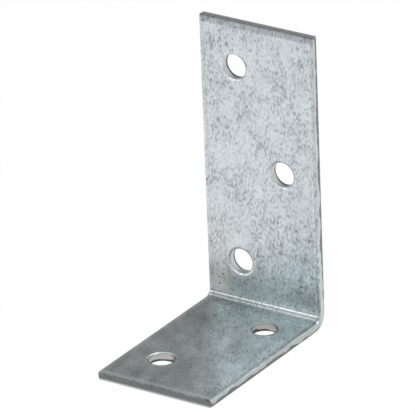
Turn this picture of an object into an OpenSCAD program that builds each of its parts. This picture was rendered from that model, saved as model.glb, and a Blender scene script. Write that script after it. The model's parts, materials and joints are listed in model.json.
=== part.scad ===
// Corner brace: one strip of galvanised sheet, sheared to length, punched and folded once.
// It stands on its short leg, with the long leg upright at the back.
// Origin: the middle of the box's underside. X runs across the strip, +Y to the back, +Z up.

/* [Sheet] */
// Thickness of the sheet
sheet_t = 1.6; // [1:0.1:2.5]
// Width of the strip
strip_w = 25; // [18:0.5:60]

/* [Legs] */
// Long leg, from the outside of the fold to the free end
long_leg = 60; // [40:1:150]
// Short leg, from the outside of the fold to the free end
short_leg = 40; // [25:1:100]

/* [Fold] */
// Inside radius of the fold
fold_r = 1.5; // [0.8:0.1:4]

/* [Holes] */
// Diameter of a punched hole at its smooth wall
hole_d = 5; // [3:0.1:7]
// How far each hole's centre lies to one side of the centre line, by turns left and right
hole_offset = 5; // [0:0.5:8]
// Distance between two hole centres, along the leg
hole_pitch = 20.2; // [12:0.1:30]
// First hole centre of the long leg, from the outside of the fold
long_first = 10.3; // [9:0.1:20]
// First hole centre of the short leg, from the outside of the fold
short_first = 9.6; // [9:0.1:20]
// Least distance from a hole centre to the free end, which decides how many holes fit
end_margin = 8; // [6:0.5:12]

/* [Press-worked edges] */
// Width of the band that the shear pulls down along an edge of the inner face
edge_roll_w = 0.8; // [0.2:0.1:1.5]
// Depth of that band at the edge
edge_roll_d = 0.08; // [0.04:0.01:0.3]
// Width of the band that the punch pulls down round a hole of the inner face
hole_roll_w = 0.4; // [0.2:0.1:1]
// Depth of that band at the hole
hole_roll_d = 0.06; // [0.03:0.01:0.25]
// Height of the broken part of a cut wall, from the outer face
break_h = 0.5; // [0.2:0.05:0.6]
// How far the broken part leans back from the smooth wall
break_lean = 0.06; // [0.02:0.01:0.12]

/* [Hidden] */
$fn = 96;
// Reach of a cutting shape beyond the face that it cuts
over = 1;
// Outside radius of the fold
fold_outer_r = fold_r + sheet_t;
// Outer face of the long leg, which is the back of the part
back_y = short_leg / 2;
// Hole centres along each leg, from the outside of the fold
long_rows = [for (u = long_first; u <= long_leg - end_margin; u = u + hole_pitch) u];
short_rows = [for (u = short_first; u <= short_leg - end_margin; u = u + hole_pitch) u];

// Radius of the arc that leaves a face at w from the edge and meets the edge at depth d
function roll_radius(w, d) = (w * w + d * d) / (2 * d);

// What the tool pulls away at an edge whose corner is the origin, with the sheet to the left and below
module roll_cut(w, d) {
    r = roll_radius(w, d);
    difference() {
        translate([-w, -d - over]) square([w + over, d + 2 * over]);
        translate([-w, -r]) circle(r = r);
    }
}

// Section across the strip, with the outer face on the X axis and the inner face above it
module strip_section() {
    half = strip_w / 2;
    difference() {
        polygon([
            [break_lean - half, 0], [half - break_lean, 0],
            [half, break_h], [half, sheet_t],
            [-half, sheet_t], [-half, break_h],
        ]);
        for (side = [0, 1])
            mirror([side, 0])
                translate([half, sheet_t]) roll_cut(edge_roll_w, edge_roll_d);
    }
}

// Section along a leg's flat length, from the fold to the free end
module end_section(length) {
    difference() {
        polygon([
            [0, 0], [length - break_lean, 0],
            [length, break_h], [length, sheet_t],
            [0, sheet_t],
        ]);
        translate([length, sheet_t]) roll_cut(edge_roll_w, edge_roll_d);
    }
}

// Flat strip along +Y from the fold, lying on its outer face, with its three cut edges rolled
module flat_strip(length) {
    intersection() {
        translate([0, length, 0]) rotate([90, 0, 0]) linear_extrude(length) strip_section();
        translate([-strip_w / 2, 0, 0]) rotate([90, 0, 90]) linear_extrude(strip_w) end_section(length);
    }
}

// What the punch takes out: a rolled mouth, a smooth wall and a broken, opening exit
module punched_hole() {
    r = hole_d / 2;
    lean = break_lean / break_h;
    translate([0, 0, -over]) cylinder(h = sheet_t + 2 * over, r = r);
    translate([0, 0, -over]) cylinder(h = break_h + over, r1 = r + lean * (break_h + over), r2 = r);
    rotate_extrude() intersection() {
        translate([r, sheet_t]) mirror([1, 0]) roll_cut(hole_roll_w, hole_roll_d);
        square([r + hole_roll_w, sheet_t + over]);
    }
}

// One leg, lying on its outer face; first_side is the side of its first hole, -1 left or 1 right
module leg(reach, rows, first_side) {
    difference() {
        flat_strip(reach - fold_outer_r);
        for (i = [0:1:len(rows) - 1]) {
            side = i % 2 == 0 ? first_side : -first_side;
            translate([side * hole_offset, rows[i] - fold_outer_r, 0]) punched_hole();
        }
    }
}

// Quarter turn of the strip's own section about the fold's axis
module fold() {
    rotate([90, 0, 90])
        rotate([0, 0, -90])
            rotate_extrude(angle = 90)
                translate([fold_outer_r, 0]) rotate(90) strip_section();
}

// The whole brace, folded from one strip
module folded_strip() {
    color("lightsteelblue") {
        translate([0, back_y, fold_outer_r]) rotate([90, 0, 0]) leg(long_leg, long_rows, -1);
        translate([0, back_y - fold_outer_r, 0]) mirror([0, 1, 0]) leg(short_leg, short_rows, 1);
        translate([0, back_y - fold_outer_r, fold_outer_r]) fold();
    }
}

folded_strip();
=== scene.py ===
"""Corner brace: one strip of galvanised sheet, sheared, punched and folded once, on a white floor.

The strip is first laid out flat, as it is before the press brake: x across it, y along it from the
middle of the fold (plus is up the long leg), and z through it, from the outer to the inner face.
A Geometry Nodes tree sets the punched holes into it and folds it into its place in the frame.
"""
import json
import math

import bpy
import bmesh
from mathutils import Matrix, Vector


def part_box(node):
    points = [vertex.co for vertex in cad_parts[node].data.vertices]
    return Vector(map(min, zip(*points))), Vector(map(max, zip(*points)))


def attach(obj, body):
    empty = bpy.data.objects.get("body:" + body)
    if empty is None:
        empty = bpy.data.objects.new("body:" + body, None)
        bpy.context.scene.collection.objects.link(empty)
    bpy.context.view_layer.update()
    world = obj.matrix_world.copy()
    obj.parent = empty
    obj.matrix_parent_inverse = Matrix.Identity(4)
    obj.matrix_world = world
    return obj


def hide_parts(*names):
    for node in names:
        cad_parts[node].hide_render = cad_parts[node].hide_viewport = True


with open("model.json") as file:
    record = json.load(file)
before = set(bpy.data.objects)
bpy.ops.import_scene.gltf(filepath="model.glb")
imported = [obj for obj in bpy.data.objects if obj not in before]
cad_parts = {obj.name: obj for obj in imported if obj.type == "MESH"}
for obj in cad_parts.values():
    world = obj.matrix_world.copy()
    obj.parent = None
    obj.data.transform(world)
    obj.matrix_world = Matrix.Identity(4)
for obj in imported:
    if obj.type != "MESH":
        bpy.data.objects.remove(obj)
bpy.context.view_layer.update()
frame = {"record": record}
MM = 0.001
MATH = "ShaderNodeMath"
# Metres, farther than any two points of the strip
FAR_OFF = 1.0

# Sizes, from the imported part
BRACE = "folded_strip"
mounts = {m["name"]: m for m in frame["record"]["mounts"]}
low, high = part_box(BRACE)
STRIP_W = high.x - low.x
BACK_Y = high.y
FRONT_Y = low.y
TOP_Z = high.z
SHEET = BACK_Y - mounts["long_leg_inner_face"]["pos_m"][1]
HOLE_R = mounts["top_screw_hole"]["dims"]["r_mm"] * MM
LONG_HOLES = [m["pos_m"] for m in mounts.values() if m["kind"] == "bore" and m["axis"][1] < 0]
SHORT_HOLES = [m["pos_m"] for m in mounts.values() if m["kind"] == "bore" and m["axis"][2] > 0]

# Fold
FOLD_R = 1.5 * MM
FOLD_OUT_R = FOLD_R + SHEET
NEUTRAL_SHARE = 0.42
FOLD_LENGTH = math.pi / 2 * (FOLD_R + NEUTRAL_SHARE * SHEET)
EDGE_DRAW = 0.05 * MM
LONG_END = FOLD_LENGTH / 2 + TOP_Z - FOLD_OUT_R
SHORT_END = -FOLD_LENGTH / 2 - (BACK_Y - FRONT_Y - FOLD_OUT_R)

# Cut edges
EDGE_ROLL_W = 1.0 * MM
EDGE_ROLL_D = 0.3 * MM
LEFT_ROLL_D = 0.04 * MM
END_ROLL_W = 1.3 * MM
END_ROLL_D = 0.08 * MM
END_CORNER_W = 0.3 * MM
END_CORNER_D = 0.1 * MM
MOUTH_ROLL_W = 0.4 * MM
MOUTH_ROLL_D = 0.04 * MM
BREAK_H = 0.5 * MM
BREAK_LEAN = 0.06 * MM
BREAK_RAGGED = 0.06 * MM

# Bare spots in the zinc of the long leg, up to half a millimetre across
# Each is given in millimetres from the leg's middle line and up from the floor
BARE_SPOTS = [(-9.34, 6.62), (-10.18, 4.44), (8.46, 7.83), (-12.17, 25.92)]

# Zinc: the flecks' width, how much longer than wide they are, and their lean in degrees on each leg
FLECK_W = 0.4 * MM
FLECK_STRETCH = 2.1
LONG_LEAN = -9
SHORT_LEAN = 28
# Mottle, clouds and patches are coarser, and a share says how much of one goes into the shade
MOTTLE_W = 1.2 * MM
MOTTLE_SHARE = 0.5
CLOUD_W = 5.0 * MM
CLOUD_SHARE = 0.3
PATCH_W = 2.6 * MM
PATCH_SEED = 3.4
PIT_GAP = 3.2 * MM
BRIGHTEST_ZINC = (0.92, 0.94, 0.95)
# Along the short leg, what differs at the hole nearest the front starts and is full at these places
FRONT_HOLE_START = -14.0 * MM
FRONT_HOLE_FULL = -20.0 * MM

# Cut steel: the tears' length along a wall and the height that they vary over, and the grain's width
TEAR_W = 3.0 * MM
TEAR_HEIGHT = 2.0 * MM
GRAIN_W = 0.4 * MM

# Mesh
STEP = 0.4 * MM
FOLD_STEP = 0.2 * MM
CELL_W = 8 * MM
CELL_LINES = 20
CELL_RINGS = 8
ROLL_LINES = 7
SMOOTH_ROWS = 3
BREAK_ROWS = 3


# Flat strip

def spread(breaks, steps):
    """Lines through all the breaks, evenly spaced between each pair at about that pair's step."""
    lines = [breaks[0]]
    for a, b, step in zip(breaks, breaks[1:], steps):
        count = max(1, round((b - a) / step))
        lines += [a + (b - a) * k / count for k in range(1, count + 1)]
    return lines


def roll_drop(distance, width, depth):
    """How far an elliptical roll lies below the inner face, at a distance from its cut edge."""
    if distance >= width:
        return 0.0
    return depth * (1 - math.sqrt(max(0.0, 1 - (1 - distance / width) ** 2)))


def flat_holes():
    """Hole centres on the flat strip."""
    up = [(x, z - FOLD_OUT_R + FOLD_LENGTH / 2) for x, y, z in LONG_HOLES]
    out = [(x, y - BACK_Y + FOLD_OUT_R - FOLD_LENGTH / 2) for x, y, z in SHORT_HOLES]
    return up + out


def rolled(lines, width):
    """Adds the lines of both outermost bands, which crowd towards the edge as a roll's slope grows."""
    steps = [width * (1 - math.sin(math.pi / 2 * k / ROLL_LINES)) for k in range(ROLL_LINES, 0, -1)]
    first, last = lines[0] - width, lines[-1] + width
    return [first + step for step in steps] + lines + [last - step for step in reversed(steps)]


def strip_lines(holes):
    """Grid lines across and along the strip, which meet the border of every punched cell."""
    half = STRIP_W / 2
    cell_x = sorted({round(x + side * CELL_W / 2, 6) for x, y in holes for side in (-1, 1)})
    breaks = [EDGE_ROLL_W - half] + cell_x + [half - EDGE_ROLL_W]
    across = rolled(spread(breaks, [STEP] * (len(breaks) - 1)), EDGE_ROLL_W)
    breaks = [SHORT_END + END_ROLL_W]
    steps = []
    stops = [(y - CELL_W / 2, y + CELL_W / 2, STEP) for x, y in holes]
    stops.append((-FOLD_LENGTH / 2, FOLD_LENGTH / 2, FOLD_STEP))
    for start, stop, step in sorted(stops):
        breaks += [start, stop]
        steps += [STEP, step]
    breaks.append(LONG_END - END_ROLL_W)
    steps.append(STEP)
    return across, rolled(spread(breaks, steps), END_ROLL_W)


def inset(value, first, last, band, by):
    """A coordinate with both outermost bands squeezed, so that the outline shrinks by so much."""
    share = (band - by) / band
    if value < first + band:
        return first + band - (first + band - value) * share
    if value > last - band:
        return last - band + (value - last + band) * share
    return value


def wall_rows(top):
    """Heights and setbacks down a cut wall: the smooth part, then the broken part that leans back."""
    smooth = [(top - (top - BREAK_H) * k / SMOOTH_ROWS, 0.0) for k in range(1, SMOOTH_ROWS + 1)]
    broken = [(BREAK_H * (1 - k / BREAK_ROWS), BREAK_LEAN * k / BREAK_ROWS) for k in range(1, BREAK_ROWS)]
    return smooth + broken


def new_object(name, mesh):
    piece = bpy.data.objects.new(name, mesh)
    bpy.context.scene.collection.objects.link(piece)
    return piece


def blank_strip(holes):
    """The sheared strip, flat, with a square window left where each punched cell goes."""
    across, along = strip_lines(holes)
    half = STRIP_W / 2
    bm = bmesh.new()
    wall = bm.faces.layers.float.new("wall")
    broken = bm.verts.layers.float.new("broken")
    inner, outer = {}, {}
    for i, x in enumerate(across):
        for j, y in enumerate(along):
            side = roll_drop(half - abs(x), EDGE_ROLL_W, EDGE_ROLL_D if x > 0 else LEFT_ROLL_D)
            from_end = min(y - SHORT_END, LONG_END - y)
            end = roll_drop(from_end, END_ROLL_W, END_ROLL_D)
            end += roll_drop(from_end, END_CORNER_W, END_CORNER_D)
            inner[i, j] = bm.verts.new((x, y, SHEET - max(side, end)))
            ox = inset(x, -half, half, EDGE_ROLL_W, BREAK_LEAN)
            oy = inset(y, SHORT_END, LONG_END, END_ROLL_W, BREAK_LEAN)
            outer[i, j] = bm.verts.new((ox, oy, 0.0))
    for i in range(len(across) - 1):
        for j in range(len(along) - 1):
            x = (across[i] + across[i + 1]) / 2
            y = (along[j] + along[j + 1]) / 2
            if any(max(abs(x - hx), abs(y - hy)) < CELL_W / 2 for hx, hy in holes):
                continue
            corners = [(i, j), (i + 1, j), (i + 1, j + 1), (i, j + 1)]
            bm.faces.new([inner[c] for c in corners])
            bm.faces.new([outer[c] for c in reversed(corners)])
    last_i, last_j = len(across) - 1, len(along) - 1
    rim = [(i, 0) for i in range(last_i)] + [(last_i, j) for j in range(last_j)]
    rim += [(i, last_j) for i in range(last_i, 0, -1)] + [(0, j) for j in range(last_j, 0, -1)]
    rows = [[inner[c] for c in rim]]
    for r in range(SMOOTH_ROWS + BREAK_ROWS - 1):
        row = []
        for i, j in rim:
            height, back = wall_rows(inner[i, j].co.z)[r]
            x = inset(across[i], -half, half, EDGE_ROLL_W, back)
            y = inset(along[j], SHORT_END, LONG_END, END_ROLL_W, back)
            v = bm.verts.new((x, y, height))
            v[broken] = 1.0 if back > 0 else 0.0
            row.append(v)
        rows.append(row)
    rows.append([outer[c] for c in rim])
    for upper, lower in zip(rows, rows[1:]):
        for k in range(len(rim)):
            n = (k + 1) % len(rim)
            face = bm.faces.new([upper[k], lower[k], lower[n], upper[n]])
            face[wall] = 1.0
    unused = [v for v in bm.verts if not v.link_faces]
    bmesh.ops.delete(bm, geom=unused, context="VERTS")
    mesh = bpy.data.meshes.new("blank_strip")
    bm.to_mesh(mesh)
    bm.free()
    return new_object("blank_strip", mesh)


def punched_cell():
    """A square of sheet with one punched hole: rolled mouth, smooth wall, broken wall and exit."""
    bm = bmesh.new()
    wall = bm.faces.layers.float.new("wall")
    broken = bm.verts.layers.float.new("broken")
    half = CELL_W / 2
    ticks = [-half + CELL_W * k / CELL_LINES for k in range(CELL_LINES)]
    square = [Vector((a, -half, 0)) for a in ticks] + [Vector((half, a, 0)) for a in ticks]
    square += [Vector((-a, half, 0)) for a in ticks] + [Vector((-half, -a, 0)) for a in ticks]
    count = len(square)

    def ring(radius, height, blend=1.0, is_broken=0.0):
        """One closed ring: blend 0 lies on the square's border, and blend 1 on a circle."""
        row = []
        for p in square:
            q = p.lerp(p.normalized() * radius, blend)
            v = bm.verts.new((q.x, q.y, height))
            v[broken] = is_broken
            row.append(v)
        return row

    rows = [ring(HOLE_R + MOUTH_ROLL_W, SHEET, k / CELL_RINGS) for k in range(CELL_RINGS + 1)]
    for k in range(1, ROLL_LINES + 1):
        distance = MOUTH_ROLL_W * math.cos(math.pi / 2 * k / ROLL_LINES)
        rows.append(ring(HOLE_R + distance, SHEET - roll_drop(distance, MOUTH_ROLL_W, MOUTH_ROLL_D)))
    first_wall = len(rows) - 1
    for height, back in wall_rows(SHEET - MOUTH_ROLL_D):
        rows.append(ring(HOLE_R + back, height, is_broken=1.0 if back > 0 else 0.0))
    last_wall = len(rows)
    rows += [ring(HOLE_R + BREAK_LEAN, 0.0, k / CELL_RINGS) for k in range(CELL_RINGS, -1, -1)]
    for r, (a, b) in enumerate(zip(rows, rows[1:])):
        for k in range(count):
            n = (k + 1) % count
            face = bm.faces.new([a[k], a[n], b[n], b[k]])
            face[wall] = 1.0 if first_wall <= r < last_wall else 0.0
    mesh = bpy.data.meshes.new("punched_cell")
    bm.to_mesh(mesh)
    bm.free()
    return new_object("punched_cell", mesh)


def hole_marks(holes):
    """One point at each hole's centre on the flat strip."""
    mesh = bpy.data.meshes.new("hole_marks")
    mesh.from_pydata([(x, y, 0.0) for x, y in holes], [], [])
    return new_object("hole_marks", mesh)


# Node trees

def add(tree, kind, inputs=(), **settings):
    """Adds a node with its settings; each input, by place or name, takes a value, a node or an output."""
    node = tree.nodes.new(kind)
    for key, value in settings.items():
        setattr(node, key, value)
    for key, value in inputs.items() if isinstance(inputs, dict) else enumerate(inputs):
        if isinstance(value, bpy.types.Node):
            value = value.outputs[0]
        if isinstance(value, bpy.types.NodeSocket):
            tree.links.new(value, node.inputs[key])
        else:
            node.inputs[key].default_value = value
    return node


def linear(hex_colour):
    """An sRGB hex colour as linear RGBA."""
    parts = [int(hex_colour[k:k + 2], 16) / 255 for k in (1, 3, 5)]
    return [c / 12.92 if c <= 0.04045 else ((c + 0.055) / 1.055) ** 2.4 for c in parts] + [1.0]


def press_tree():
    """Sets the punched cells into the flat strip and folds it; most sizes are inputs of the tree."""
    tree = bpy.data.node_groups.new("press_and_fold", "GeometryNodeTree")
    face = tree.interface
    face.new_socket("Strip", in_out="INPUT", socket_type="NodeSocketGeometry")
    face.new_socket("Hole Marks", in_out="INPUT", socket_type="NodeSocketObject")
    face.new_socket("Punched Cell", in_out="INPUT", socket_type="NodeSocketObject")
    for name in ("Sheet", "Outside Radius", "Fold Length", "Back", "Edge Draw", "Half Width", "Ragged"):
        face.new_socket(name, in_out="INPUT", socket_type="NodeSocketFloat")
    face.new_socket("Zinc", in_out="INPUT", socket_type="NodeSocketMaterial")
    face.new_socket("Cut Steel", in_out="INPUT", socket_type="NodeSocketMaterial")
    face.new_socket("Brace", in_out="OUTPUT", socket_type="NodeSocketGeometry")
    given = add(tree, "NodeGroupInput").outputs

    # Holes
    marks = add(tree, "GeometryNodeObjectInfo", {"Object": given["Hole Marks"]})
    cell = add(tree, "GeometryNodeObjectInfo", {"Object": given["Punched Cell"]})
    cells = add(tree, "GeometryNodeInstanceOnPoints",
                {"Points": marks.outputs["Geometry"], "Instance": cell.outputs["Geometry"]})
    cells = add(tree, "GeometryNodeRealizeInstances", [cells])
    whole = add(tree, "GeometryNodeJoinGeometry", [given["Strip"]])
    tree.links.new(cells.outputs[0], whole.inputs[0])
    whole = add(tree, "GeometryNodeMergeByDistance", {"Geometry": whole, "Distance": 0.01 * MM})
    flat = add(tree, "GeometryNodeInputPosition")
    whole = add(tree, "GeometryNodeStoreNamedAttribute", {"Geometry": whole, "Name": "flat", "Value": flat},
                data_type="FLOAT_VECTOR", domain="POINT")

    # Torn walls
    broken = add(tree, "GeometryNodeInputNamedAttribute", {"Name": "broken"}, data_type="FLOAT")
    tears = add(tree, "ShaderNodeTexNoise", {"Vector": flat, "Scale": 1 / (0.8 * MM), "Detail": 3.0})
    uneven = add(tree, MATH, [tears.outputs["Fac"], 0.5], operation="SUBTRACT")
    uneven = add(tree, MATH, [uneven, given["Ragged"]], operation="MULTIPLY")
    uneven = add(tree, MATH, [uneven, broken.outputs["Attribute"]], operation="MULTIPLY")
    normal = add(tree, "GeometryNodeInputNormal")
    offset = add(tree, "ShaderNodeVectorMath", {0: normal, "Scale": uneven}, operation="SCALE")
    whole = add(tree, "GeometryNodeSetPosition", {"Geometry": whole, "Offset": offset})

    # Fold
    x, y, z = add(tree, "ShaderNodeSeparateXYZ", [add(tree, "GeometryNodeInputPosition")]).outputs
    half_fold = add(tree, MATH, [given["Fold Length"], 0.5], operation="MULTIPLY")
    share = add(tree, MATH, [y, given["Fold Length"]], operation="DIVIDE")
    share = add(tree, MATH, [share, 0.5], operation="ADD", use_clamp=True)
    turn = add(tree, MATH, [share, math.pi / 2], operation="MULTIPLY")
    above = add(tree, MATH, [y, half_fold], operation="SUBTRACT")
    above = add(tree, MATH, [above, 0.0], operation="MAXIMUM")
    below = add(tree, MATH, [y, -1.0], operation="MULTIPLY")
    below = add(tree, MATH, [below, half_fold], operation="SUBTRACT")
    below = add(tree, MATH, [below, 0.0], operation="MAXIMUM")
    radius = add(tree, MATH, [given["Outside Radius"], z], operation="SUBTRACT")
    axis_y = add(tree, MATH, [given["Back"], given["Outside Radius"]], operation="SUBTRACT")
    sine = add(tree, MATH, [turn], operation="SINE")
    cosine = add(tree, MATH, [turn], operation="COSINE")
    out_y = add(tree, MATH, [radius, sine, axis_y], operation="MULTIPLY_ADD")
    out_y = add(tree, MATH, [out_y, below], operation="SUBTRACT")
    drop = add(tree, MATH, [radius, cosine], operation="MULTIPLY")
    out_z = add(tree, MATH, [given["Outside Radius"], above], operation="ADD")
    out_z = add(tree, MATH, [out_z, drop], operation="SUBTRACT")

    # The stretched outside of the fold draws in at both edges
    reach = add(tree, MATH, [above, below], operation="MAXIMUM")
    near_fold = add(tree, "ShaderNodeMapRange",
                    {"Value": reach, "From Min": 0.0, "From Max": given["Sheet"],
                     "To Min": 1.0, "To Max": 0.0},
                    interpolation_type="SMOOTHSTEP")
    edge_start = add(tree, MATH, [given["Sheet"], -1.5, given["Half Width"]], operation="MULTIPLY_ADD")
    from_middle = add(tree, MATH, [x], operation="ABSOLUTE")
    near_edge = add(tree, "ShaderNodeMapRange",
                    {"Value": from_middle, "From Min": edge_start, "From Max": given["Half Width"]},
                    interpolation_type="SMOOTHSTEP")
    draw = add(tree, MATH, [near_fold, near_edge], operation="MULTIPLY")
    draw = add(tree, MATH, [draw, given["Edge Draw"]], operation="MULTIPLY")
    through = add(tree, MATH, [z, given["Sheet"]], operation="DIVIDE")
    outer_share = add(tree, MATH, [through, 1.0], operation="SUBTRACT")
    draw = add(tree, MATH, [draw, outer_share], operation="MULTIPLY")
    sign = add(tree, MATH, [x], operation="SIGN")
    out_x = add(tree, MATH, [draw, sign, x], operation="MULTIPLY_ADD")
    folded = add(tree, "ShaderNodeCombineXYZ", [out_x, out_y, out_z])
    whole = add(tree, "GeometryNodeSetPosition", {"Geometry": whole, "Position": folded})

    # Finish
    whole = add(tree, "GeometryNodeRealizeInstances", [whole])
    whole = add(tree, "GeometryNodeSetMaterial", {"Geometry": whole, "Material": given["Zinc"]})
    wall = add(tree, "GeometryNodeInputNamedAttribute", {"Name": "wall"}, data_type="FLOAT")
    is_wall = add(tree, MATH, [wall.outputs["Attribute"], 0.5], operation="GREATER_THAN")
    whole = add(tree, "GeometryNodeSetMaterial",
                {"Geometry": whole, "Selection": is_wall, "Material": given["Cut Steel"]})
    add(tree, "NodeGroupOutput", {"Brace": whole})
    return tree


# Materials

def new_material(name, metallic):
    """A named material with an empty tree, its output and a principled shader."""
    material = bpy.data.materials.new(name)
    material.use_nodes = True
    tree = material.node_tree
    tree.nodes.clear()
    shader = add(tree, "ShaderNodeBsdfPrincipled", {"Metallic": metallic})
    add(tree, "ShaderNodeOutputMaterial", {"Surface": shader})
    return material, tree, shader


def flat_place(tree):
    """Where a point lay on the flat strip, whole and in parts, and 1 on the long leg or 0 on the short."""
    flat = add(tree, "ShaderNodeAttribute", attribute_name="flat").outputs["Vector"]
    x, along, height = add(tree, "ShaderNodeSeparateXYZ", [flat]).outputs
    on_long = add(tree, "ShaderNodeMapRange", {"Value": along, "From Min": -1.0 * MM, "From Max": 1.0 * MM})
    return flat, x, along, height, on_long


def apart(tree, value, place=0.0):
    """How far a value lies from one place, on either side."""
    offset = add(tree, MATH, [value, place], operation="SUBTRACT")
    return add(tree, MATH, [offset], operation="ABSOLUTE")


def tinted(tree, colour, share, tint):
    """A colour with a share of a tint over it."""
    over = add(tree, "ShaderNodeMix",
               {"Factor": share, "A": (1.0, 1.0, 1.0, 1.0), "B": tint}, data_type="RGBA").outputs["Result"]
    return add(tree, "ShaderNodeVectorMath", [colour, over], operation="MULTIPLY").outputs[0]


def zinc_pattern(tree, flat, on_long):
    """Flecks and mottle, their mixed shade, and the coordinates that they are drawn out on."""
    lean = add(tree, "ShaderNodeMapRange",
               {"Value": on_long, "To Min": math.radians(SHORT_LEAN), "To Max": math.radians(LONG_LEAN)})
    lean = add(tree, "ShaderNodeCombineXYZ", {"Z": lean})
    drawn = add(tree, "ShaderNodeMapping",
                {"Vector": flat, "Rotation": lean, "Scale": (1.0, FLECK_STRETCH, 1.0)},
                vector_type="TEXTURE")
    fleck = add(tree, "ShaderNodeTexNoise",
                {"Vector": drawn, "Scale": 1 / FLECK_W, "Detail": 2.0, "Roughness": 0.6}).outputs["Fac"]
    mottle = add(tree, "ShaderNodeTexNoise",
                 {"Vector": drawn, "Scale": 1 / MOTTLE_W, "Detail": 2.0, "Roughness": 0.6}).outputs["Fac"]
    cloud = add(tree, "ShaderNodeTexNoise",
                {"Vector": flat, "Scale": 1 / CLOUD_W, "Detail": 2.0}).outputs["Fac"]
    # Flecks show less on the short leg, which mirrors the dark of the surround, so they are stronger there
    fleck_share = add(tree, "ShaderNodeMapRange", {"Value": on_long, "To Min": 1.2, "To Max": 1.0})
    shade = add(tree, MATH, [fleck, 0.5], operation="SUBTRACT")
    base = 0.5 - 0.5 * (MOTTLE_SHARE + CLOUD_SHARE)
    shade = add(tree, MATH, [shade, fleck_share, base], operation="MULTIPLY_ADD")
    shade = add(tree, MATH, [mottle, MOTTLE_SHARE, shade], operation="MULTIPLY_ADD")
    shade = add(tree, MATH, [cloud, CLOUD_SHARE, shade], operation="MULTIPLY_ADD")
    return drawn, fleck, mottle, shade


def zinc_colour(tree, flat, shade):
    """The zinc's own colour: dark flecks, plain zinc, small pits and the bare spots."""
    tone = add(tree, "ShaderNodeValToRGB", [shade])
    ramp = tone.color_ramp.elements
    ramp[0].position = 0.24
    ramp[0].color = linear("#A0A8AD")
    ramp[1].position = 0.5
    ramp[1].color = linear("#D2DAE0")
    ramp.new(0.72).color = linear("#DEE5EB")
    # About half of the cells hold a pit, of a size that differs from cell to cell
    pits = add(tree, "ShaderNodeTexVoronoi", {"Vector": flat, "Scale": 1 / PIT_GAP})
    chosen = add(tree, "ShaderNodeSeparateColor", [pits.outputs["Color"]])
    reach = add(tree, "ShaderNodeMapRange",
                {"Value": chosen.outputs[0], "From Min": 0.5, "From Max": 1.0,
                 "To Min": 0.0, "To Max": 0.16})
    pit = add(tree, MATH, [reach, pits.outputs["Distance"]], operation="SUBTRACT")
    pit = add(tree, "ShaderNodeMapRange", {"Value": pit, "From Min": 0.0, "From Max": 0.08, "To Max": 0.6})
    pitted = add(tree, "ShaderNodeMix",
                 {"Factor": pit, "A": tone.outputs["Color"], "B": linear("#6A7072")}, data_type="RGBA")
    nearest = FAR_OFF
    for spot_x, spot_z in BARE_SPOTS:
        spot = (spot_x * MM, spot_z * MM - FOLD_OUT_R + FOLD_LENGTH / 2, SHEET)
        from_spot = add(tree, "ShaderNodeVectorMath", [flat, spot], operation="DISTANCE").outputs["Value"]
        nearest = add(tree, MATH, [from_spot, nearest], operation="MINIMUM")
    bare = add(tree, "ShaderNodeMapRange",
               {"Value": nearest, "From Min": 0.12 * MM, "From Max": 0.26 * MM,
                "To Min": 0.9, "To Max": 0.0})
    spotted = add(tree, "ShaderNodeMix",
                  {"Factor": bare, "A": pitted.outputs["Result"], "B": linear("#303434")}, data_type="RGBA")
    return spotted.outputs["Result"]


def rim_distance(tree, x, along, height):
    """Distance from the nearest hole's wall; the outer face counts as half a sheet away at least."""
    on_plan = add(tree, "ShaderNodeCombineXYZ", [x, along, 0.0])
    nearest = FAR_OFF
    for hole_x, hole_y in flat_holes():
        from_centre = add(tree, "ShaderNodeVectorMath", [on_plan, (hole_x, hole_y, 0.0)],
                          operation="DISTANCE").outputs["Value"]
        nearest = add(tree, MATH, [from_centre, nearest], operation="MINIMUM")
    from_wall = add(tree, MATH, [nearest, HOLE_R], operation="SUBTRACT")
    from_inner_half = add(tree, MATH, [SHEET / 2, height], operation="SUBTRACT")
    return add(tree, MATH, [from_wall, from_inner_half], operation="MAXIMUM")


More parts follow.
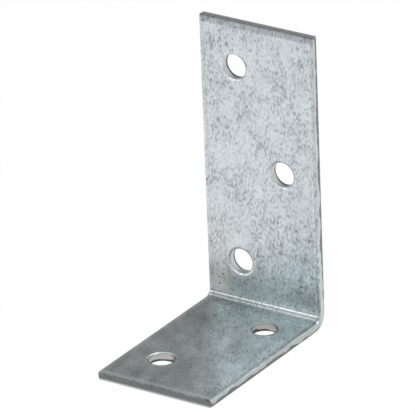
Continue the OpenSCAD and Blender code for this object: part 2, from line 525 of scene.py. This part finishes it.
def lighter_and_darker_bands(tree, x, along, on_long, from_fold, from_rim):
    """Lighter and darker bands, most of them painted shade and highlights: the distance that each goes by,
    where it starts and is full in mm, and how much darker it makes the zinc (minus is lighter).
    """
    off_long = add(tree, MATH, [1.0, on_long], operation="SUBTRACT")
    past_fold = add(tree, MATH, [along, -1.0], operation="MULTIPLY")
    from_right = add(tree, MATH, [STRIP_W / 2, x], operation="SUBTRACT")
    from_left = add(tree, MATH, [STRIP_W / 2, x], operation="ADD")
    from_top = add(tree, MATH, [LONG_END, along], operation="SUBTRACT")
    from_front = add(tree, MATH, [along, SHORT_END], operation="SUBTRACT")
    above_line = add(tree, MATH, [along, 28.0 * MM], operation="SUBTRACT")
    # The larger of two distances ends a band where either of them does
    right_line = add(tree, MATH, [apart(tree, from_right, 0.78 * MM), above_line], operation="MAXIMUM")
    right_line = add(tree, MATH, [right_line, past_fold], operation="MAXIMUM")
    left_line = add(tree, MATH, [apart(tree, from_left, 0.8 * MM), past_fold], operation="MAXIMUM")
    long_right = add(tree, MATH, [from_right, past_fold], operation="MAXIMUM")
    short_right = add(tree, MATH, [apart(tree, from_right, 0.6 * MM), along], operation="MAXIMUM")
    short_left = add(tree, MATH, [from_left, along], operation="MAXIMUM")
    long_corner = add(tree, MATH, [from_left, from_fold], operation="MAXIMUM")
    long_corner = add(tree, MATH, [long_corner, off_long], operation="MAXIMUM")
    fold_left = add(tree, MATH, [x, 0.2, 2.0 * MM], operation="MULTIPLY_ADD")
    fold_left = add(tree, MATH, [fold_left, from_fold], operation="MAXIMUM")
    # Painted shade darkens each hole's rim, and a painted highlight rings each hole, strongest at the hole
    # nearest the front and under the lowest one
    rim_shade = add(tree, "ShaderNodeMapRange", {"Value": on_long, "To Min": 0.4, "To Max": 0.15})
    ring_place = add(tree, "ShaderNodeMapRange",
                     {"Value": on_long, "To Min": 0.42 * MM, "To Max": 0.34 * MM})
    highlight_ring = apart(tree, from_rim, ring_place)
    ring_highlight = add(tree, "ShaderNodeMapRange",
                     {"Value": along, "From Min": FRONT_HOLE_FULL, "From Max": FRONT_HOLE_START,
                      "To Min": -0.45, "To Max": -0.14})
    low_hole = flat_holes()[0][1]
    under_low = add(tree, "ShaderNodeMapRange",
                    {"Value": along, "From Min": low_hole - 0.8 * MM, "From Max": low_hole - 2.3 * MM,
                     "To Max": -0.5})
    ring_highlight = add(tree, MATH, [under_low, on_long, ring_highlight], operation="MULTIPLY_ADD")
    return [
        # Painted shade at each hole's rim, and the painted highlight ring round it
        (from_rim, 0.3, 0.12, rim_shade),
        (highlight_ring, 0.26, 0.1, ring_highlight),
        # A thin darker line along the long leg's left edge, and a painted highlight along its right edge low
        # down
        (left_line, 0.3, 0.08, 0.12),
        (right_line, 0.18, 0.04, -0.18),
        # Painted shade along the right edges, and a lighter strip along the short leg's left edge
        (long_right, 0.7, 0.45, 0.15),
        (short_right, 0.45, 0.15, 0.2),
        (short_left, 0.9, 0.7, -0.25),
        # Painted shade on the low left of the long leg, a lighter strip along the fold, and painted shade at
        # the fold's left end
        (long_corner, 13.0, 8.0, 0.12),
        (from_fold, 3.6, 2.4, -0.1),
        (fold_left, 2.0, 0.9, 0.22),
        # A darker band and a darker edge at the long leg's end
        (from_top, 1.5, 1.2, 0.27),
        (from_top, 0.3, 0.05, 0.4),
        # A painted highlight on the lip and painted shade on the edge at the short leg's end
        (from_front, 1.4, 1.1, -0.3),
        (from_front, 0.3, 0.08, 0.95),
    ]


def zinc_patches_and_painted_light(tree, x, along, height, on_long, from_fold, from_rim, drawn, fleck, mottle):
    """How much of its brightness the zinc keeps, where 1 is unchanged: random patches and strokes, and
    painted shade and highlights.
    """
    # Painted shade darkens both sides of the fold, mostly on the long leg
    patches_and_painted_light = add(tree, "ShaderNodeMapRange",
                 {"Value": from_fold, "From Min": 4.0 * MM, "From Max": 11.0 * MM,
                  "To Min": 1.0, "To Max": 0.0},
                 interpolation_type="SMOOTHSTEP")
    fold_shade = add(tree, "ShaderNodeMapRange", {"Value": on_long, "To Min": 0.05, "To Max": 0.28})
    patches_and_painted_light = add(tree, MATH, [patches_and_painted_light, fold_shade], operation="MULTIPLY")
    # Soft light and dark patches, stronger on the short leg and faint in the fold
    patchy = add(tree, "ShaderNodeTexNoise",
                 {"Vector": drawn, "W": PATCH_SEED, "Scale": 1 / PATCH_W, "Detail": 2.0},
                 noise_dimensions="4D")
    patchy = add(tree, MATH, [0.5, patchy.outputs["Fac"]], operation="SUBTRACT")
    patch_share = add(tree, "ShaderNodeMapRange", {"Value": on_long, "To Min": 1.1, "To Max": 0.15})
    off_fold = add(tree, "ShaderNodeMapRange",
                   {"Value": from_fold, "From Min": 1.5 * MM, "From Max": 5.0 * MM,
                    "To Min": 0.2, "To Max": 1.0})
    patch_share = add(tree, MATH, [patch_share, off_fold], operation="MULTIPLY")
    patches_and_painted_light = add(tree, MATH, [patchy, patch_share, patches_and_painted_light], operation="MULTIPLY_ADD")
    # Light and dark strokes low on the right of the long leg, mostly on its inner face
    strokes = add(tree, MATH, [fleck, mottle], operation="ADD")
    strokes = add(tree, MATH, [1.0, strokes], operation="SUBTRACT")
    low_down = add(tree, "ShaderNodeMapRange",
                   {"Value": apart(tree, along, 12.0 * MM), "From Min": 9.0 * MM, "From Max": 4.0 * MM,
                    "To Max": 0.6})
    to_right = add(tree, "ShaderNodeMapRange", {"Value": x, "From Min": -3.0 * MM, "From Max": 2.0 * MM})
    inner = add(tree, "ShaderNodeMapRange",
                {"Value": height, "From Min": 0.0, "From Max": SHEET, "To Min": 0.3})
    strokes = add(tree, MATH, [strokes, inner], operation="MULTIPLY")
    strokes = add(tree, MATH, [strokes, to_right], operation="MULTIPLY")
    patches_and_painted_light = add(tree, MATH, [strokes, low_down, patches_and_painted_light], operation="MULTIPLY_ADD")
    for distance, start, full, amount in lighter_and_darker_bands(tree, x, along, on_long, from_fold, from_rim):
        band = add(tree, "ShaderNodeMapRange",
                   {"Value": distance, "From Min": start * MM, "From Max": full * MM,
                    "To Min": 0.0, "To Max": amount})
        patches_and_painted_light = add(tree, MATH, [patches_and_painted_light, band], operation="ADD")
    return add(tree, MATH, [1.0, patches_and_painted_light], operation="SUBTRACT")


def zinc_relief(tree, along, from_fold, from_rim, fleck, mottle):
    """The shading normal: fine relief, pressed flat in the fold, and the metal that the punch drew down."""
    relief = add(tree, MATH, [mottle, fleck], operation="ADD")
    pressed = add(tree, "ShaderNodeMapRange",
                  {"Value": from_fold, "From Min": 1.6 * MM, "From Max": 4.0 * MM,
                   "To Min": 0.15, "To Max": 1.0})
    relief = add(tree, MATH, [relief, pressed], operation="MULTIPLY")
    bump = add(tree, "ShaderNodeBump", {"Height": relief, "Strength": 0.5, "Distance": 0.05 * MM})
    drawn_down = add(tree, "ShaderNodeMapRange",
                     {"Value": from_rim, "From Min": 0.0, "From Max": 0.55 * MM,
                      "To Min": 0.0, "To Max": 1.0},
                     interpolation_type="SMOOTHSTEP")
    depth = add(tree, "ShaderNodeMapRange",
                {"Value": along, "From Min": FRONT_HOLE_FULL, "From Max": FRONT_HOLE_START,
                 "To Min": 1.0, "To Max": 0.35})
    drawn_down = add(tree, MATH, [drawn_down, depth], operation="MULTIPLY")
    bump = add(tree, "ShaderNodeBump", {"Height": drawn_down, "Strength": 1.0, "Distance": 0.5 * MM,
                                        "Normal": bump.outputs["Normal"]})
    return bump.outputs["Normal"]


def galvanised_sheet():
    """Hot-dip zinc, rolled smooth: satin, blue-grey, with fine dark flecks drawn out by the rolls."""
    material, tree, shader = new_material("galvanised_sheet", 1.0)
    flat, x, along, height, on_long = flat_place(tree)
    from_fold = apart(tree, along)
    from_rim = rim_distance(tree, x, along, height)
    drawn, fleck, mottle, shade = zinc_pattern(tree, flat, on_long)
    colour = zinc_colour(tree, flat, shade)
    bright = zinc_patches_and_painted_light(tree, x, along, height, on_long, from_fold, from_rim, drawn, fleck, mottle)
    # The short leg and the fold are a little greener, and a painted reflection of the warm floor warms the
    # low left side
    greener_part = add(tree, "ShaderNodeMapRange", {"Value": along, "From Min": 12.0 * MM, "From Max": 4.0 * MM})
    colour = tinted(tree, colour, greener_part, (0.965, 1.005, 0.975, 1.0))
    painted_warm_reflection = add(tree, "ShaderNodeMapRange", {"Value": x, "From Min": -6.0 * MM, "From Max": -9.0 * MM})
    low_down = add(tree, "ShaderNodeMapRange", {"Value": along, "From Min": 20.0 * MM, "From Max": 12.0 * MM})
    painted_warm_reflection = add(tree, MATH, [painted_warm_reflection, low_down], operation="MULTIPLY")
    colour = tinted(tree, colour, painted_warm_reflection, (1.0, 0.955, 0.94, 1.0))
    colour = add(tree, "ShaderNodeVectorMath", {0: colour, "Scale": bright}, operation="SCALE")
    colour = add(tree, "ShaderNodeVectorMath", [colour.outputs[0], BRIGHTEST_ZINC], operation="MINIMUM")
    tree.links.new(colour.outputs[0], shader.inputs["Base Color"])
    # Flecks are rougher than the zinc round them, and the fold is burnished
    matt = add(tree, "ShaderNodeMapRange",
               {"Value": shade, "From Min": 0.3, "From Max": 0.55, "To Min": 0.52, "To Max": 0.31})
    burnished = add(tree, "ShaderNodeMapRange",
                    {"Value": from_fold, "From Min": 1.0 * MM, "From Max": 2.4 * MM,
                     "To Min": 0.5, "To Max": 1.0})
    satin = add(tree, MATH, [matt, burnished], operation="MULTIPLY")
    tree.links.new(satin.outputs[0], shader.inputs["Roughness"])
    normal = zinc_relief(tree, along, from_fold, from_rim, fleck, mottle)
    tree.links.new(normal, shader.inputs["Normal"])
    return material


def tear(tree, flat, along, height, in_hole, end):
    """Where a cut wall is torn, from 0 on the smooth land to 1."""
    # The tear starts about half way through, later in holes and beside the fold
    level = add(tree, "ShaderNodeMapRange",
                {"Value": apart(tree, along), "From Min": 3.0 * MM, "From Max": 9.0 * MM,
                 "To Min": -0.75 * MM, "To Max": -0.23 * MM})
    level = add(tree, MATH, [in_hole, -0.15 * MM, level], operation="MULTIPLY_ADD")
    tears = add(tree, "ShaderNodeTexNoise", {"Vector": flat, "Scale": 1 / TEAR_W, "Detail": 4.0})
    border = add(tree, MATH, [tears.outputs["Fac"], TEAR_HEIGHT, level], operation="MULTIPLY_ADD")
    # A cropped end is torn right through
    border = add(tree, MATH, [end, SHEET, border], operation="MULTIPLY_ADD")
    below_border = add(tree, MATH, [border, height], operation="SUBTRACT")
    torn = add(tree, "ShaderNodeMapRange", {"Value": below_border, "From Min": 0.0, "From Max": 0.12 * MM})
    # A cropped end keeps a light burr along its outer edge
    burr = add(tree, "ShaderNodeMapRange", {"Value": height, "From Min": 0.45 * MM, "From Max": 0.25 * MM})
    burr = add(tree, MATH, [burr, end], operation="MULTIPLY")
    return add(tree, MATH, [torn, burr], operation="SUBTRACT", use_clamp=True)


def unshaded_in_holes(tree, x, height, torn, in_hole, in_short_hole):
    """What is left of the colour under painted shade in the holes: at their torn exits, and on the right side
    of the short leg's holes.
    """
    exit_shade = add(tree, "ShaderNodeMapRange",
                    {"Value": height, "From Min": 0.45 * MM, "From Max": 0.15 * MM,
                     "To Min": 0.3, "To Max": 0.65})
    hole_shade = add(tree, MATH, [torn, in_hole], operation="MULTIPLY")
    hole_shade = add(tree, MATH, [hole_shade, exit_shade], operation="MULTIPLY")
    side_sign = add(tree, MATH, [x], operation="SIGN")
    off_centre = add(tree, MATH, [side_sign, -abs(flat_holes()[0][0]), x], operation="MULTIPLY_ADD")
    right_side = add(tree, "ShaderNodeMapRange",
                     {"Value": off_centre, "From Min": 0.7 * MM, "From Max": 1.6 * MM,
                      "To Min": 0.0, "To Max": 0.5})
    hole_shade = add(tree, MATH, [right_side, in_short_hole, hole_shade], operation="MULTIPLY_ADD")
    return add(tree, MATH, [1.0, hole_shade], operation="SUBTRACT", use_clamp=True)


def cut_steel():
    """Sheared and punched steel: a smooth burnished land, then a dull torn grey towards the outer face."""
    material, tree, shader = new_material("cut_steel", 0.75)
    flat, x, along, height, on_long = flat_place(tree)
    middle = (LONG_END + SHORT_END) / 2
    reach = LONG_END - middle
    # Within half a millimetre of either cropped end
    end = add(tree, "ShaderNodeMapRange",
              {"Value": apart(tree, along, middle),
               "From Min": reach - 0.5 * MM, "From Max": reach - 0.1 * MM})
    # Every hole ends within 8 mm of the strip's middle line
    in_hole = add(tree, "ShaderNodeMapRange",
                  {"Value": apart(tree, x), "From Min": 8.0 * MM, "From Max": 8.5 * MM,
                   "To Min": 1.0, "To Max": 0.0})
    in_hole = add(tree, MATH, [in_hole, end], operation="SUBTRACT", use_clamp=True)
    in_short_hole = add(tree, MATH, [in_hole, on_long], operation="SUBTRACT", use_clamp=True)
    torn = tear(tree, flat, along, height, in_hole, end)
    # Torn grain is drawn out along the cut
    drawn = add(tree, "ShaderNodeMapping", {"Vector": flat, "Scale": (3.0, 3.0, 0.5)}, vector_type="TEXTURE")
    grain = add(tree, "ShaderNodeTexNoise",
                {"Vector": drawn, "Scale": 1 / GRAIN_W, "Detail": 3.0}).outputs["Fac"]
    dark = add(tree, "ShaderNodeMix",
               {"Factor": grain, "A": linear("#636667"), "B": linear("#B4B8B9")}, data_type="RGBA")
    land = add(tree, "ShaderNodeMix",
               {"Factor": in_short_hole, "A": linear("#CDD5D7"), "B": linear("#D3D2D0")}, data_type="RGBA")
    tone = add(tree, "ShaderNodeMix",
               {"Factor": torn, "A": land.outputs["Result"], "B": dark.outputs["Result"]}, data_type="RGBA")
    # Painted shade darkens the short leg's walls, least at the hole nearest the front, and the long leg's
    # cropped end is made lighter
    short_hole_shading = add(tree, "ShaderNodeMapRange",
                     {"Value": along, "From Min": FRONT_HOLE_FULL, "From Max": FRONT_HOLE_START,
                      "To Min": 0.88, "To Max": 0.72})
    wall_shading = add(tree, "ShaderNodeMapRange", {"Value": in_hole, "To Min": 0.76, "To Max": short_hole_shading})
    wall_shading = add(tree, "ShaderNodeMapRange", {"Value": on_long, "To Min": wall_shading, "To Max": 1.0})
    top_end_lighter = add(tree, MATH, [end, on_long], operation="MULTIPLY")
    top_end_lighter = add(tree, MATH, [top_end_lighter, 1.12], operation="MULTIPLY")
    wall_shading = add(tree, MATH, [wall_shading, top_end_lighter], operation="MAXIMUM")
    # Painted shade at the holes' torn exits and on the right side of the short leg's holes
    hole_unshaded = unshaded_in_holes(tree, x, height, torn, in_hole, in_short_hole)
    wall_shading = add(tree, MATH, [wall_shading, hole_unshaded], operation="MULTIPLY")
    colour = add(tree, "ShaderNodeVectorMath", {0: tone.outputs["Result"], "Scale": wall_shading}, operation="SCALE")
    tree.links.new(colour.outputs[0], shader.inputs["Base Color"])
    rough = add(tree, "ShaderNodeMapRange", {"Value": torn, "To Min": 0.4, "To Max": 0.7})
    tree.links.new(rough.outputs[0], shader.inputs["Roughness"])
    bump = add(tree, "ShaderNodeBump", {"Height": grain, "Strength": 0.4, "Distance": 0.04 * MM})
    tree.links.new(bump.outputs["Normal"], shader.inputs["Normal"])
    return material


def fold_brace():
    """Runs the press tree on the flat strip and keeps the plain mesh that comes out."""
    holes = flat_holes()
    strip = blank_strip(holes)
    cell = punched_cell()
    marks = hole_marks(holes)
    tree = press_tree()
    press = strip.modifiers.new("press_and_fold", "NODES")
    press.node_group = tree
    sizes = {
        "Hole Marks": marks, "Punched Cell": cell, "Sheet": SHEET, "Outside Radius": FOLD_OUT_R,
        "Fold Length": FOLD_LENGTH, "Back": BACK_Y, "Edge Draw": EDGE_DRAW, "Half Width": STRIP_W / 2,
        "Ragged": BREAK_RAGGED, "Zinc": galvanised_sheet(), "Cut Steel": cut_steel(),
    }
    for socket in tree.interface.items_tree:
        if socket.in_out == "INPUT" and socket.name in sizes:
            press[socket.identifier] = sizes[socket.name]
    pressed = strip.evaluated_get(bpy.context.evaluated_depsgraph_get())
    mesh = bpy.data.meshes.new_from_object(pressed)
    for helper in (strip, cell, marks):
        bpy.data.objects.remove(helper)
    bm = bmesh.new()
    bm.from_mesh(mesh)
    for face in bm.faces:
        face.smooth = True
    for edge in bm.edges:
        if len(edge.link_faces) != 2:
            raise RuntimeError("the folded strip has an open edge")
        edge.smooth = edge.calc_face_angle() < math.radians(35)
    bm.to_mesh(mesh)
    bm.free()
    return new_object("galvanised_strip", mesh)


brace = fold_brace()
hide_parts(BRACE)
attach(brace, "root")


# Stage

# The surround is faintly warm, as paper is
PAPER = (1.0, 0.985, 0.96, 1.0)


def white_floor():
    """A plain white floor that keeps a trace of the brace's shadow, and is dimmer far off in reflections."""
    size = 3.0
    mesh = bpy.data.meshes.new("floor")
    corners = [(-size, -size, 0), (size, -size, 0), (size, size, 0), (-size, size, 0)]
    mesh.from_pydata(corners, [], [(0, 1, 2, 3)])
    floor = new_object("floor", mesh)
    material = bpy.data.materials.new("white_floor")
    material.use_nodes = True
    tree = material.node_tree
    tree.nodes.clear()
    where = add(tree, "ShaderNodeTexCoord").outputs["Object"]
    away = add(tree, "ShaderNodeVectorMath", [where], operation="LENGTH").outputs["Value"]
    near = add(tree, "ShaderNodeMapRange", {"Value": away, "From Min": 0.15, "From Max": 0.45,
                                            "To Min": 1.0, "To Max": 0.5}, interpolation_type="SMOOTHSTEP")
    path = add(tree, "ShaderNodeLightPath")
    level = add(tree, MATH, [path.outputs["Is Camera Ray"], near], operation="MAXIMUM")
    # The camera and the metal see nearly the plain glow alone, over a trace of the shaded paint
    mirrored = add(tree, MATH, [path.outputs["Is Glossy Ray"], path.outputs["Is Transmission Ray"]],
                   operation="MAXIMUM")
    mirrored = add(tree, MATH, [mirrored, 0.98], operation="MULTIPLY")
    seen = add(tree, MATH, [path.outputs["Is Camera Ray"], 0.97], operation="MULTIPLY")
    share = add(tree, MATH, [seen, mirrored], operation="MAXIMUM")
    paint = add(tree, "ShaderNodeBsdfDiffuse", {"Color": linear("#F2F2F2")})
    tint = add(tree, "ShaderNodeMix",
               {"Factor": path.outputs["Is Camera Ray"], "A": PAPER, "B": (1, 1, 1, 1)},
               data_type="RGBA")
    white = add(tree, "ShaderNodeEmission", {"Color": tint.outputs["Result"], "Strength": level})
    mix = add(tree, "ShaderNodeMixShader", [share, paint, white])
    add(tree, "ShaderNodeOutputMaterial", {"Surface": mix})
    floor.data.materials.append(material)


def studio_world():
    """Soft grey surround, dark behind on the left and light on the right, and plain white past the brace."""
    world = bpy.data.worlds.new("studio")
    bpy.context.scene.world = world
    world.use_nodes = True
    tree = world.node_tree
    tree.nodes.clear()
    where = add(tree, "ShaderNodeTexCoord").outputs["Generated"]
    towards_dark = add(tree, "ShaderNodeVectorMath", [where, (-0.7, 0.66, 0.25)], operation="DOT_PRODUCT")
    level = add(tree, "ShaderNodeMapRange",
                {"Value": towards_dark.outputs["Value"], "From Min": 0.35, "From Max": 0.9,
                 "To Min": 0.62, "To Max": 0.28})
    side = add(tree, "ShaderNodeSeparateXYZ", [where]).outputs[0]
    lighter = add(tree, "ShaderNodeMapRange",
                  {"Value": side, "From Min": 0.0, "From Max": 0.45, "To Max": 0.3})
    level = add(tree, MATH, [level, lighter], operation="ADD")
    path = add(tree, "ShaderNodeLightPath")
    grey = add(tree, "ShaderNodeBackground", {"Color": PAPER, "Strength": level})
    white = add(tree, "ShaderNodeBackground", {"Color": (1, 1, 1, 1), "Strength": 1.0})
    mix = add(tree, "ShaderNodeMixShader", [path.outputs["Is Camera Ray"], grey, white])
    add(tree, "ShaderNodeOutputWorld", {"Surface": mix})


def softbox(name, azimuth, elevation, distance, width, height, level):
    """A soft lamp aimed at the brace; azimuth 0 is in front, and plus is to the right."""
    data = bpy.data.lights.new(name, "AREA")
    data.shape = "RECTANGLE"
    data.size = width
    data.size_y = height
    data.energy = level * math.pi * width * height
    lamp = bpy.data.objects.new(name, data)
    bpy.context.scene.collection.objects.link(lamp)
    turn, tilt = math.radians(azimuth), math.radians(elevation)
    out = Vector((math.sin(turn) * math.cos(tilt), -math.cos(turn) * math.cos(tilt), math.sin(tilt)))
    lamp.location = Vector((0, 0, 0.02)) + out * distance
    lamp.rotation_euler = out.to_track_quat("Z", "Y").to_euler()


def photo_camera():
    """The photograph's viewpoint: a long lens, in front to the right and above, tipped by 2 degrees."""
    azimuth, elevation, roll = math.radians(33.985), math.radians(24.784), math.radians(-2.239)
    distance = 1.1879
    aim = Vector((0.0001, 0.0, 0.03016))
    back = Vector((math.sin(azimuth) * math.cos(elevation), -math.cos(azimuth) * math.cos(elevation),
                   math.sin(elevation)))
    level = Vector((math.cos(azimuth), math.sin(azimuth), 0))
    rise = back.cross(level)
    right = level * math.cos(roll) + rise * math.sin(roll)
    up = rise * math.cos(roll) - level * math.sin(roll)
    data = bpy.data.cameras.new("camera")
    data.lens = 551.83
    data.sensor_width = 36
    data.clip_end = 20
    camera = bpy.data.objects.new("camera", data)
    bpy.context.scene.collection.objects.link(camera)
    turn = Matrix((right, up, back)).transposed().to_4x4()
    camera.matrix_world = Matrix.Translation(aim + back * distance) @ turn
    bpy.context.scene.camera = camera


white_floor()
studio_world()
softbox("top_softbox", 100, 68, 1.2, 0.9, 0.9, 1.15)
softbox("left_softbox", -68, 58, 1.2, 0.4, 0.35, 0.4)
softbox("window_softbox", -32, 19, 1.5, 1.3, 0.5, 0.7)
softbox("strip_softbox", -14, 21, 1.4, 1.6, 0.2, 0.8)
photo_camera()
bpy.context.scene.view_settings.view_transform = "Standard"
